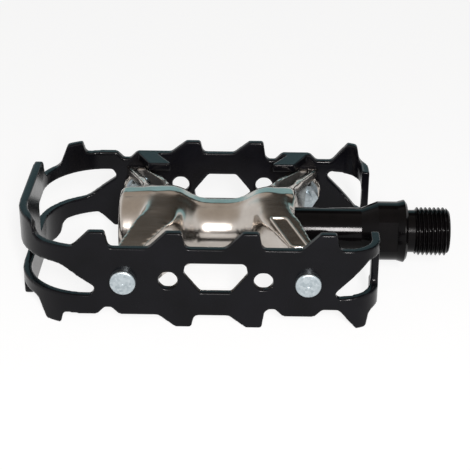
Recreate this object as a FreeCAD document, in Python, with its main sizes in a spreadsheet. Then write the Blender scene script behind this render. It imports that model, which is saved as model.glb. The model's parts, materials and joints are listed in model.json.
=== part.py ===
import FreeCAD, Part
import math
import os
from types import SimpleNamespace

import Sketcher
from FreeCAD import Placement, Rotation, Vector

# Mountain bike pedal: a folded steel cage bolted to a cast body that turns on a cup-and-cone spindle.
# Origin at the spindle's shoulder on its axis, +X towards the crank, +Z up, millimetres.

# Driving dimensions: alias, value, meaning
DIMENSIONS = [
    ("centre_reach", 55.2, "pedal centre, outboard of the spindle shoulder"),
    ("cage_width", 66.0, "over both plates"),
    ("cage_outboard", 56.4, "pedal centre to the outboard end of the cage"),
    ("cage_inboard", 45.5, "pedal centre to the turned ends of the cage"),
    ("cage_height", 29.2, "over the tooth tips"),
    ("sheet", 2.4, "cage sheet thickness"),
    ("end_bend", 20.5, "outside radius of the outboard bends"),
    ("turn_bend", 9.0, "outside radius of the bends at the turned ends"),
    ("turn_gap", 40.0, "clear gap between the two turned ends"),
    ("edge_plain", 9.7, "height of the plain edges over the middle plane"),
    ("bend_edge", 8.6, "height of the edges between the raised end wall and the tooth on a bend"),
    ("edge_folded", 10.8, "height of the edges that carry the tabs"),
    ("notch_height", 8.7, "height of the notches beside the tabs"),
    ("tooth_first", -32.5, "first tooth of the plain edge, from the pedal centre"),
    ("tooth_pitch", 21.1, "pitch of the teeth on the plain edge"),
    ("tooth_width", 4.4, "width of a tooth tip"),
    ("tooth_slope", 4.9, "run of the sloping flank of a tooth"),
    ("tooth_steep", 0.9, "run of the steep flank of a tooth"),
    ("tooth_root", 1.8, "root radius of a tooth"),
    ("tooth_crown", 0.8, "corner radius of a tooth tip"),
    ("bend_tooth", -45.8, "tooth on the outboard bend, from the pedal centre"),
    ("folded_tooth_a", -9.1, "outboard tooth of the folded edge, from the pedal centre"),
    ("folded_tooth_b", 10.6, "inboard tooth of the folded edge, from the pedal centre"),
    ("turn_tooth", 40.6, "tooth on the inboard bend, from the pedal centre"),
    ("turn_tooth_width", 2.8, "tip width of the tooth on the inboard bend"),
    ("notch_a", -30.0, "notch outboard of the first tab, from the pedal centre"),
    ("notch_b", 15.6, "notch outboard of the second tab, from the pedal centre"),
    ("notch_c", 30.6, "notch inboard of the second tab, from the pedal centre"),
    ("notch_width", 2.0, "width of a notch at its bottom"),
    ("wall_start", -51.1, "raised end wall, where it starts on a bend, from the pedal centre"),
    ("wall_end", 15.6, "raised end wall, where it ends on the outboard end, from its middle"),
    ("wall_crown", 2.0, "corner radius at the ends of the raised wall"),
    ("wall_root", 2.4, "root radius at the ends of the raised wall"),
    ("tab_fold", 24.0, "middle of a tab's folded edge, from the pedal centre"),
    ("tab_free", 18.8, "middle of a tab's free edge, from the pedal centre"),
    ("tab_width", 5.8, "width of a tab along its folded edge"),
    ("tab_free_width", 7.2, "width of a tab along its free edge"),
    ("tab_reach", 10.4, "reach of a tab from the outside of the plate"),
    ("tab_corner", 0.6, "corner radius of a tab"),
    ("window_wide", 17.8, "widest part of the middle window"),
    ("window_long_side", 16.6, "long side of the middle window"),
    ("window_narrow", 8.8, "short side of the middle window"),
    ("window_wide_height", 2.0, "widest part of the middle window, from the middle plane"),
    ("window_long_height", 5.3, "long side of the middle window, from the middle plane"),
    ("window_narrow_height", 3.7, "short side of the middle window, from the middle plane"),
    ("window_corner", 1.4, "corner radius of the windows"),
    ("clip_hole_spacing", 26.4, "spacing of the two clip holes in each plate"),
    ("clip_hole_diameter", 5.4, "clip hole diameter"),
    ("slot_tip", -34.6, "inboard tip of the outboard window, from the pedal centre"),
    ("slot_shoulder", -43.0, "start of the outboard window's slanted side, from the pedal centre"),
    ("slot_top", 4.4, "upper edge of the outboard window"),
    ("slot_bottom", 5.0, "lower edge of the outboard window, below the middle plane"),
    ("end_bar", 9.0, "width of the bar in the middle of the outboard end"),
    ("corner_tip", 30.9, "outboard tip of the inboard window, from the pedal centre"),
    ("corner_tip_height", 5.6, "outboard tip of the inboard window, below the middle plane"),
    ("corner_top", 6.1, "upper edge of the inboard window"),
    ("corner_bottom", 4.2, "lower edge of the inboard window at the bend, below the middle plane"),
    ("turn_bar", 4.2, "width of the bar at each turned end"),
    ("bolt_spacing", 51.0, "spacing of the two cage bolts of a plate"),
    ("bolt_diameter", 5.0, "cage bolt shank"),
    ("bolt_clearance", 0.15, "room round the shank in its holes"),
    ("bolt_head_diameter", 7.3, "cage bolt head"),
    ("bolt_head_height", 2.0, "cage bolt head"),
    ("bolt_spare", 1.2, "bolt length past its nut"),
    ("washer_diameter", 9.3, "cage washer"),
    ("washer_thickness", 1.0, "cage washer"),
    ("nut_flats", 8.0, "cage nut across flats"),
    ("nut_height", 4.0, "cage nut"),
    ("barrel_outboard", 29.0, "pedal centre to the outboard end of the barrel"),
    ("barrel_inboard", 22.6, "pedal centre to the inboard end of the barrel"),
    ("barrel_wall", 2.3, "barrel wall round the cups at the barrel ends"),
    ("shoulder_rise", 0.8, "barrel radius at the shoulders of the waist over that at the ends"),
    ("barrel_edge", 0.8, "chamfer at the barrel ends"),
    ("waist_wall", 2.7, "wall of the waist"),
    ("waist_half", 5.6, "half length of the narrow waist"),
    ("waist_shoulder", 12.4, "pedal centre to the shoulders of the waist"),
    ("waist_blend", 12.0, "blend radius at the narrow waist"),
    ("shoulder_blend", 8.0, "blend radius at the shoulders of the waist"),
    ("ridge_width", 3.8, "width of the flat ridge along the barrel"),
    ("ridge_height", 0.35, "height of the flat ridge over the barrel"),
    ("arm_root_outer", 18.2, "outer side of an arm's closed face at the barrel, from the pedal centre"),
    ("arm_root_inner", 12.6, "inner side of an arm at the barrel, from the pedal centre"),
    ("arm_knee", 11.0, "knee of an arm's inner side at its closed face, from the pedal centre"),
    ("arm_open_knee", 16.2, "knee of an arm's inner side at its open face, from the pedal centre"),
    ("arm_knee_depth", 12.0, "knee of an arm's inner side, from the spindle axis"),
    ("arm_knee_blend", 8.0, "blend radius of the knee"),
    ("arm_foot_width", 6.0, "width of an arm at the plate, centred on its bolt at the closed face"),
    ("arm_lean", 2.4, "draft of an arm: shift of its open face away from the pedal centre"),
    ("arm_tab_gap", 0.4, "room between an arm and the tab over it"),
    ("arm_wall", 2.2, "wall of an arm's channel"),
    ("arm_skin", 3.2, "skin over an arm's channel at the plate"),
    ("foot_thickness", 3.6, "foot of an arm behind the plate"),
    ("foot_room", 0.75, "foot past its washer"),
    ("foot_half_height", 4.8, "half height of a foot"),
    ("foot_corner", 4.4, "corner radius of a foot"),
    ("nut_room", 0.3, "room round a washer in its pocket"),
    ("nut_pocket", 7.4, "depth of the pocket behind a foot"),
    ("badge_width", 5.4, "rimmed blank panel on an inboard arm"),
    ("badge_near", 12.8, "near end of the rimmed panel, from the spindle axis"),
    ("badge_far", 26.2, "far end of the rimmed panel, from the spindle axis"),
    ("badge_rim", 0.7, "width of the raised rim of the panel"),
    ("badge_height", 0.5, "height of the rim of the panel"),
    ("shaft_radius", 6.65, "spindle shaft at the inboard bearing"),
    ("race_step", 0.35, "shaft radius over the ball pitch radius"),
    ("ball_diameter", 3.968, "bearing ball"),
    ("race_gap", 0.07, "running gap between ball and race"),
    ("cup_wall", 1.25, "cup wall over the race"),
    ("cup_depth", 3.6, "cup, from the ball centres to its back"),
    ("cup_rim", 1.2, "cup, from the ball centres to its front"),
    ("fit_gap", 0.02, "gap of the pressed and screwed fits"),
    ("thread_radius", 7.14, "crank thread, outside"),
    ("thread_length", 12.5, "crank thread, from the shoulder"),
    ("thread_chamfer", 1.0, "chamfer at the end of the crank thread"),
    ("relief_radius", 6.3, "undercut behind the crank thread"),
    ("relief_length", 2.3, "undercut behind the crank thread"),
    ("face_undercut", 0.3, "undercut of the shoulder face beside the thread"),
    ("face_clearance", 0.2, "shoulder face, clear of the thread crest"),
    ("flange_radius", 9.25, "spindle flange"),
    ("flange_length", 2.9, "spindle flange"),
    ("flange_bevel", 0.9, "bevel of the flange towards the crank, across"),
    ("flange_rim", 0.7, "bevel of the flange towards the crank, along"),
    ("flange_edge", 0.3, "width of the flange rim"),
    ("collar_radius", 8.7, "collar that carries the wrench flats"),
    ("collar_length", 5.7, "collar that carries the wrench flats"),
    ("wrench_flats", 15.0, "across the wrench flats"),
    ("flats_turn", -11.5, "turn of the wrench flats about the axis, degrees"),
    ("neck_length", 4.8, "flared neck between the collar and the shaft"),
    ("tail_radius", 3.6, "threaded outboard end of the spindle"),
    ("tail_spare", 0.6, "spindle end past its locknut"),
    ("cone_length", 4.2, "adjusting cone, from the ball centres to its back"),
    ("cone_nose", 0.9, "adjusting cone, from the ball centres to its nose"),
    ("lock_washer_thickness", 1.0, "keyed lock washer"),
    ("key_width", 1.6, "tongue of the lock washer"),
    ("key_depth", 0.7, "keyway in the spindle"),
    ("key_gap", 0.1, "room round the tongue in the keyway"),
    ("locknut_flats", 11.0, "locknut across flats"),
    ("locknut_height", 3.0, "locknut"),
    ("seal_length", 2.2, "inboard seal"),
    ("seal_setback", 0.5, "inboard seal behind the barrel end"),
    ("seal_room", 1.9, "room between the seal and the inboard cup"),
    ("seal_lip", 0.06, "running gap of the seal lip"),
    ("cap_face", 1.2, "face of the dust cap"),
    ("cap_skirt", 3.0, "skirt length of the dust cap"),
    ("cap_wall", 1.0, "skirt wall of the dust cap"),
    ("cap_room", 0.6, "room between the dust cap and the spindle end"),
]
BALLS_IN_ROW = 9
TEETH = 4
PLATES = (-1, 1)
CUT_SPARE = 1.0
HEX_CORNER = 1.0 / math.sqrt(3.0)


class Size:
    """A length together with the sheet expression that drives it."""

    def __init__(self, value, text):
        self.value = value
        self.text = text

    def combine(self, other, sign, value):
        return Size(value, f"({self.text} {sign} {as_size(other).text})")

    def __add__(self, other):
        return self.combine(other, "+", self.value + as_size(other).value)

    def __sub__(self, other):
        return self.combine(other, "-", self.value - as_size(other).value)

    def __mul__(self, other):
        return self.combine(other, "*", self.value * as_size(other).value)

    def __truediv__(self, other):
        return self.combine(other, "/", self.value / as_size(other).value)

    def __neg__(self):
        return self * -1


def as_size(number):
    """Give a plain number the same form as a size."""
    if isinstance(number, Size):
        return number
    return Size(number, f"({number})")


doc = FreeCAD.newDocument("pedal")
sheet = doc.addObject("Spreadsheet::Sheet", "Sizes")
for row, (alias, value, note) in enumerate(DIMENSIONS, start=1):
    sheet.set(f"A{row}", note)
    sheet.set(f"B{row}", str(value))
    sheet.setAlias(f"B{row}", alias)
doc.recompute()
d = SimpleNamespace(**{alias: Size(value, f"Sizes.{alias}") for alias, value, note in DIMENSIONS})


# Helpers that draw bound sketches and add features

def bind(thing, prop, size):
    """Drive a property by the sheet."""
    thing.setExpression(prop, as_size(size).text)


def new_body(label):
    body = doc.addObject("PartDesign::Body", label)
    body.Label = label
    return body


def origin_feature(body, role):
    return next(item for item in body.Origin.OriginFeatures if item.Role == role)


def new_sketch(body, name, plane, offset=None):
    """Add a sketch on one of the body's own planes, moved along the plane's normal."""
    sketch = body.newObject("Sketcher::SketchObject", name)
    sketch.AttachmentSupport = [(origin_feature(body, plane), "")]
    sketch.MapMode = "FlatFace"
    if offset is not None:
        bind(sketch, "AttachmentOffset.Base.z", offset)
    return sketch


def flat(corner):
    return Vector(as_size(corner[0]).value, as_size(corner[1]).value, 0)


def rounding(before, corner, after, radius):
    """Tangent points and centre of a corner's rounding."""
    to_before = (before - corner).normalize()
    to_after = (after - corner).normalize()
    half = to_before.getAngle(to_after) / 2
    reach = radius / math.tan(half)
    centre = corner + (to_before + to_after).normalize() * (radius / math.sin(half))
    return corner + to_before * reach, corner + to_after * reach, centre


def outline(sketch, corners):
    """Draw a closed outline through (x, y) or (x, y, radius) corners, each bound to the sheet."""
    count = len(corners)
    points = [flat(corner) for corner in corners]
    starts = list(points)
    ends = list(points)
    centres = {}
    for index, corner in enumerate(corners):
        if len(corner) == 3:
            before = points[index - 1]
            after = points[(index + 1) % count]
            radius = as_size(corner[2]).value
            ends[index], starts[index], centres[index] = rounding(before, points[index], after, radius)
    first = sketch.GeometryCount
    for index in range(count):
        sketch.addGeometry(Part.LineSegment(starts[index], ends[(index + 1) % count]), False)
    constraints = []
    driven = []

    def drive(constraint, size):
        driven.append((len(constraints), as_size(size)))
        constraints.append(constraint)

    for index, corner in enumerate(corners):
        line = first + index
        previous = first + (index - 1) % count
        if index not in centres:
            constraints.append(Sketcher.Constraint("Coincident", previous, 2, line, 1))
            drive(Sketcher.Constraint("DistanceX", line, 1, points[index].x), corner[0])
            drive(Sketcher.Constraint("DistanceY", line, 1, points[index].y), corner[1])
            continue
        centre = centres[index]
        radius = as_size(corner[2]).value
        turn = (points[index] - points[index - 1]).cross(points[(index + 1) % count] - points[index]).z
        left_turn = turn > 0
        begin = ends[index] if left_turn else starts[index]
        finish = starts[index] if left_turn else ends[index]
        angles = [math.atan2(point.y - centre.y, point.x - centre.x) for point in (begin, finish)]
        circle = Part.Circle(centre, Vector(0, 0, 1), radius)
        arc = sketch.addGeometry(Part.ArcOfCircle(circle, angles[0], angles[1]), False)
        apex = sketch.addGeometry(Part.Point(points[index]), True)
        constraints.append(Sketcher.Constraint("PointOnObject", apex, 1, previous))
        constraints.append(Sketcher.Constraint("PointOnObject", apex, 1, line))
        constraints.append(Sketcher.Constraint("Tangent", previous, 2, arc, 1 if left_turn else 2))
        constraints.append(Sketcher.Constraint("Tangent", line, 1, arc, 2 if left_turn else 1))
        drive(Sketcher.Constraint("DistanceX", apex, 1, points[index].x), corner[0])
        drive(Sketcher.Constraint("DistanceY", apex, 1, points[index].y), corner[1])
        drive(Sketcher.Constraint("Radius", arc, radius), corner[2])
    base = sketch.ConstraintCount
    sketch.addConstraint(constraints)
    for index, size in driven:
        sketch.setExpression(f"Constraints[{base + index}]", size.text)


def round_hole(sketch, x, y, radius):
    """Draw a bound circle."""
    centre = flat((x, y))
    hole = sketch.addGeometry(Part.Circle(centre, Vector(0, 0, 1), as_size(radius).value), False)
    for kind, size in (("DistanceX", x), ("DistanceY", y)):
        number = sketch.addConstraint(Sketcher.Constraint(kind, hole, 3, as_size(size).value))
        sketch.setExpression(f"Constraints[{number}]", as_size(size).text)
    number = sketch.addConstraint(Sketcher.Constraint("Radius", hole, as_size(radius).value))
    sketch.setExpression(f"Constraints[{number}]", as_size(radius).text)


def extrude(body, kind, sketch, length, symmetric=False, reverse=False):
    """Add a Pad or a Pocket along the sketch's normal."""
    feature = body.newObject(f"PartDesign::{kind}", f"{sketch.Name}_{kind.lower()}")
    feature.Profile = sketch
    feature.SideType = "Symmetric" if symmetric else "One side"
    feature.Reversed = reverse
    bind(feature, "Length", length)
    sketch.Visibility = False
    return feature


def loft(body, kind, sketches):
    """Add an AdditiveLoft or a SubtractiveLoft with straight sides between two sketches."""
    feature = body.newObject(f"PartDesign::{kind}", f"{sketches[0].Name}_{kind.lower()}")
    feature.Profile = sketches[0]
    feature.Sections = sketches[1:]
    feature.Ruled = True
    for sketch in sketches:
        sketch.Visibility = False
    return feature


def turn(body, kind, sketch, axis="H_Axis"):
    """Add a Revolution or a Groove, all the way round."""
    feature = body.newObject(f"PartDesign::{kind}", f"{sketch.Name}_{kind.lower()}")
    feature.Profile = sketch
    feature.ReferenceAxis = (sketch, [axis])
    feature.Angle = 360
    return feature


def half_turn(body, features):
    """Repeat features after half a turn about the spindle axis."""
    pattern = body.newObject("PartDesign::PolarPattern", f"{body.Name}_half_turn")
    pattern.Originals = features
    pattern.Axis = (origin_feature(body, "X_Axis"), [""])
    pattern.Angle = 360
    pattern.Occurrences = 2
    body.Tip = pattern
    return pattern


# Derived places, all from the driving dimensions
middle = -d.centre_reach
half_width = d.cage_width / 2
half_height = d.cage_height / 2
plate_inside = half_width - d.sheet
outboard_end = middle - d.cage_outboard
inboard_end = middle + d.cage_inboard
overshoot = half_height + CUT_SPARE
ball_radius = d.ball_diameter / 2
pitch_radius = d.shaft_radius - d.race_step
race = ball_radius + d.race_gap
cone_waist = pitch_radius - race
cup_lip = pitch_radius - d.race_step
cup_radius = pitch_radius + race + d.cup_wall
barrel_radius = cup_radius + d.barrel_wall
shoulder_radius = barrel_radius + d.shoulder_rise
waist_radius = cup_lip + d.waist_wall
ridge_top = shoulder_radius + d.ridge_height
barrel_left = middle - d.barrel_outboard
barrel_right = middle + d.barrel_inboard
inboard_row = barrel_right - d.seal_setback - d.seal_length - d.seal_room - d.cup_rim
spindle_end = barrel_left + d.cap_face + d.cap_room
locknut_back = spindle_end + d.tail_spare
locknut_face = locknut_back + d.locknut_height
cone_back = locknut_face + d.lock_washer_thickness
outboard_row = cone_back + d.cone_length
foot_inside = plate_inside - d.foot_thickness
arm_foot_outer = d.bolt_spacing / 2 + d.arm_foot_width / 2
arm_foot_inner = d.bolt_spacing / 2 - d.arm_foot_width / 2
tab_end = half_width - d.tab_reach
arm_under_tab = d.edge_folded - d.sheet - d.arm_tab_gap
end_cut_depth = d.sheet + CUT_SPARE * 2
end_cut_limit = outboard_end + d.sheet + CUT_SPARE
end_cut_start = end_cut_limit - CUT_SPARE / 2
end_cut_half = half_width - d.sheet * 2.5
wall_flank = middle + d.wall_start


# Cage: one folded and punched sheet

def plain_edge():
    """Upper edge of the front plate: the end of the raised wall, then sloped teeth at one pitch."""
    corners = [
        (end_cut_start, half_height),
        (wall_flank, half_height, d.wall_crown),
        (wall_flank + d.tooth_steep, d.edge_plain, d.wall_root),
    ]
    for number in range(TEETH):
        tip = middle + d.tooth_first + d.tooth_pitch * number
        left = tip - d.tooth_width / 2
        right = tip + d.tooth_width / 2
        corners.append((left - d.tooth_slope, d.edge_plain, d.tooth_root * 1.5))
        corners.append((left, half_height, d.tooth_crown))
        corners.append((right, half_height, d.tooth_crown))
        corners.append((right + d.tooth_steep, d.edge_plain, d.tooth_root))
    corners.append((inboard_end + CUT_SPARE, d.edge_plain))
    corners.append((inboard_end + CUT_SPARE, overshoot + CUT_SPARE))
    corners.append((end_cut_start, overshoot + CUT_SPARE))
    return corners


def tooth_down(centre, width, slope, foot, root):
    """A tooth of the folded edge: sloping flank outboard, steep flank inboard."""
    left = middle + centre - width / 2
    right = middle + centre + width / 2
    return [
        (left - slope, -foot, d.tooth_root),
        (left, -half_height, d.tooth_crown),
        (right, -half_height, d.tooth_crown),
        (right + d.tooth_steep, -root, d.tooth_root),
    ]


def notch(centre):
    """A shallow notch of the folded edge beside a tab."""
    left = middle + centre - d.notch_width / 2
    right = middle + centre + d.notch_width / 2
    run = d.edge_folded - d.notch_height
    return [
        (left - run, -d.edge_folded, d.tooth_crown),
        (left, -d.notch_height, d.tooth_crown),
        (right, -d.notch_height, d.tooth_crown),
        (right + run, -d.edge_folded, d.tooth_crown),
    ]


def folded_edge():
    """Lower edge of the front plate: teeth, notches and the two straight stretches that carry the tabs."""
    corners = [(end_cut_start, -d.bend_edge)]
    corners += tooth_down(d.bend_tooth, d.tooth_width, d.tooth_slope / 2, d.bend_edge, d.edge_folded)
    corners += notch(d.notch_a)
    corners += tooth_down(d.folded_tooth_a, d.tooth_width, d.tooth_slope, d.edge_folded, d.edge_folded)
    corners += tooth_down(d.folded_tooth_b, d.tooth_width, d.tooth_slope, d.edge_folded, d.notch_height)
    corners += notch(d.notch_b)[2:]
    corners += notch(d.notch_c)[:2]
    corners += tooth_down(d.turn_tooth, d.turn_tooth_width, d.tooth_slope, d.notch_height, d.edge_plain)
    corners.append((inboard_end + CUT_SPARE, -d.edge_plain))
    corners.append((inboard_end + CUT_SPARE, -overshoot - CUT_SPARE))
    corners.append((end_cut_start, -overshoot - CUT_SPARE))
    return corners


def end_edge():
    """Upper edge of the outboard end: raised all along, lower only near the back plate."""
    return [
        (-end_cut_half, half_height),
        (d.wall_end, half_height, d.wall_crown),
        (d.wall_end + d.tooth_steep, d.bend_edge, d.wall_root),
        (end_cut_half, d.bend_edge),
        (end_cut_half, overshoot + CUT_SPARE),
        (-end_cut_half, overshoot + CUT_SPARE),
    ]


def make_cage():
    body = new_body("cage")
    band = new_sketch(body, "cage_band", "XY_Plane")
    turn_end = d.turn_gap / 2
    inner_x = inboard_end - d.sheet
    outer_x = outboard_end + d.sheet
    outline(band, [
        (inboard_end, -turn_end),
        (inboard_end, -half_width, d.turn_bend),
        (outboard_end, -half_width, d.end_bend),
        (outboard_end, half_width, d.end_bend),
        (inboard_end, half_width, d.turn_bend),
        (inboard_end, turn_end),
        (inner_x, turn_end),
        (inner_x, plate_inside, d.turn_bend - d.sheet),
        (outer_x, plate_inside, d.end_bend - d.sheet),
        (outer_x, -plate_inside, d.end_bend - d.sheet),
        (inner_x, -plate_inside, d.turn_bend - d.sheet),
        (inner_x, -turn_end),
    ])
    extrude(body, "Pad", band, overshoot * 2, symmetric=True)

    upper = new_sketch(body, "cage_plain_edge", "XZ_Plane")
    outline(upper, plain_edge())
    cuts = [extrude(body, "Pocket", upper, half_width + CUT_SPARE, reverse=True)]

    lower = new_sketch(body, "cage_folded_edge", "XZ_Plane")
    outline(lower, folded_edge())
    cuts.append(extrude(body, "Pocket", lower, half_width + CUT_SPARE, reverse=True))

    end = new_sketch(body, "cage_end_edge", "YZ_Plane", outboard_end - CUT_SPARE)
    outline(end, end_edge())
    cuts.append(extrude(body, "Pocket", end, end_cut_depth, reverse=True))

    windows = new_sketch(body, "cage_windows", "XZ_Plane")
    outline(windows, [
        (middle - d.window_long_side / 2, d.window_long_height, d.window_corner),
        (middle + d.window_long_side / 2, d.window_long_height, d.window_corner),
        (middle + d.window_wide / 2, d.window_wide_height, d.window_corner),
        (middle + d.window_narrow / 2, -d.window_narrow_height, d.window_corner / 2),
        (middle - d.window_narrow / 2, -d.window_narrow_height, d.window_corner / 2),
        (middle - d.window_wide / 2, d.window_wide_height, d.window_corner),
    ])
    outline(windows, [
        (end_cut_start, d.slot_top),
        (middle + d.slot_shoulder, d.slot_top, d.window_corner * 5),
        (middle + d.slot_tip + d.window_corner, -d.slot_bottom / 2, d.window_corner),
        (middle + d.slot_tip, -d.slot_bottom, d.window_corner),
        (end_cut_start, -d.slot_bottom),
    ])
    outline(windows, [
        (middle + d.corner_tip, -d.corner_tip_height, d.window_corner),
        (inner_x - CUT_SPARE, d.corner_top, d.window_corner / 2),
        (inner_x + CUT_SPARE / 4, d.corner_top),
        (inner_x + CUT_SPARE / 4, -d.corner_bottom),
    ])
    for side in (-1, 1):
        round_hole(windows, middle + d.clip_hole_spacing / 2 * side, 0, d.clip_hole_diameter / 2)
        round_hole(windows, middle + d.bolt_spacing / 2 * side, 0, d.bolt_diameter / 2 + d.bolt_clearance)
    cuts.append(extrude(body, "Pocket", windows, half_width + CUT_SPARE, reverse=True))

    end_window = new_sketch(body, "cage_end_window", "YZ_Plane", outboard_end - CUT_SPARE)
    outline(end_window, [
        (-end_cut_half, d.slot_top),
        (-d.end_bar / 2, d.slot_top, d.window_corner),
        (-d.end_bar / 2, -d.slot_bottom, d.window_corner),
        (-end_cut_half, -d.slot_bottom),
    ])
    cuts.append(extrude(body, "Pocket", end_window, end_cut_depth, reverse=True))

    turn_window = new_sketch(body, "cage_turn_window", "YZ_Plane", inboard_end + CUT_SPARE)
    turn_window_end = -turn_end - d.turn_bar
    outline(turn_window, [
        (-half_width - CUT_SPARE, d.corner_top),
        (turn_window_end, d.corner_top, d.window_corner),
        (turn_window_end, -d.corner_bottom, d.window_corner),
        (-half_width - CUT_SPARE, -d.corner_bottom),
    ])
    cuts.append(extrude(body, "Pocket", turn_window, d.sheet + CUT_SPARE * 1.2))

    for side in (-1, 1):
        tab = new_sketch(body, f"cage_tab_{'ab'[side > 0]}", "XY_Plane", -d.edge_folded)
        fold = middle + d.tab_fold * side
        free = middle + d.tab_free * side
        half_tab = d.tab_width / 2
        half_free = d.tab_free_width / 2
        outline(tab, [
            (fold - half_tab, -half_width + d.sheet / 2),
            (fold + half_tab, -half_width + d.sheet / 2),
            (free + half_free, -tab_end, d.tab_corner),
            (free - half_free, -tab_end, d.tab_corner),
        ])
        cuts.append(extrude(body, "Pad", tab, d.sheet))
    half_turn(body, cuts)
    return body


# Body: one casting, a waisted barrel with four diagonal arms, each a channel between two ribs

def waist_line(end_radius, rise, side=1):
    """Profile of the barrel from its outboard to its inboard end, raised by a given height."""
    shoulder = (shoulder_radius + rise) * side
    waist = (waist_radius + rise) * side
    return [
        (barrel_left + d.barrel_edge, (end_radius + rise) * side),
        (middle - d.waist_shoulder, shoulder, d.shoulder_blend),
        (middle - d.waist_half, waist, d.waist_blend),
        (middle + d.waist_half, waist, d.waist_blend),
        (middle + d.waist_shoulder, shoulder, d.shoulder_blend),
        (barrel_right - d.barrel_edge, (end_radius + rise) * side),
    ]


def arm_height(depth, rise=0.0):
    """Half height of an arm at a distance from the spindle axis, falling to clear the tab over it."""
    fall = (ridge_top - arm_under_tab) / tab_end
    return ridge_top - fall * depth + rise


def arm_outer(depth):
    """Outer side of an arm at a distance from the spindle axis."""
    return d.arm_root_outer + (arm_foot_outer - d.arm_root_outer) / plate_inside * depth


def arm_inner(depth):
    """Inner side of an arm past its knee, at a distance from the spindle axis."""
    lean = (arm_foot_inner - d.arm_knee) / (plate_inside - d.arm_knee_depth)
    return d.arm_knee + lean * (depth - d.arm_knee_depth)


def arm_section(side, share, wall, far):
    """Plan of an arm, or of its channel inside the walls: share 0 at the closed face, 1 at the open one."""
    near = wall * 2
    shift = d.arm_lean * share
    knee = d.arm_knee + (d.arm_open_knee - d.arm_knee) * share + wall
    return [
        (middle + (arm_outer(near) + shift - wall) * side, -near),
        (middle + (arm_outer(far) + shift - wall) * side, -far),
        (middle + (arm_inner(far) + shift + wall) * side, -far),
        (middle + knee * side, -d.arm_knee_depth, d.arm_knee_blend),
        (middle + (d.arm_root_inner + wall) * side, -near),
    ]


def arm_loft(body, kind, name, wall, far, top):
    """Arms, or their channels, from the open face at the bottom up to a given height, one on each side."""
    bottom = -ridge_top
    features = []
    for number, side in enumerate((-1, 1), start=1):
        sections = []
        for height in (bottom, top):
            share = (ridge_top - height) / (ridge_top * 2)
            sketch = new_sketch(body, f"{name}_{number}_{len(sections) + 1}", "XY_Plane", height)
            outline(sketch, arm_section(side, share, wall, far))
            sections.append(sketch)
        features.append(loft(body, kind, sections))
    return features


def slope_cut(body, name, rise):
    """Cut away what stands above the sloping faces of the front arms."""
    sketch = new_sketch(body, name, "YZ_Plane", middle)
    near = d.ridge_width / 2
    far = plate_inside + CUT_SPARE
    top = ridge_top + CUT_SPARE * 2
    for side in (1, -1):
        outline(sketch, [
            (-near, arm_height(near, rise) * side),
            (-near, top * side),
            (-far, top * side),
            (-far, arm_height(far, rise) * side),
        ])
    return extrude(body, "Pocket", sketch, d.bolt_spacing * 2, symmetric=True)


def waist_cut(body):
    """Cut the arms' roots down to the waisted line of the ridge."""
    sketch = new_sketch(body, "body_waist_cut", "XZ_Plane")
    top = ridge_top + CUT_SPARE * 2
    for side in (1, -1):
        outline(sketch, [
            *waist_line(barrel_radius, d.ridge_height, side),
            (barrel_right - d.barrel_edge, top * side),
            (barrel_left + d.barrel_edge, top * side),
        ])
    return extrude(body, "Pocket", sketch, half_width * 2, symmetric=True)


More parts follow.
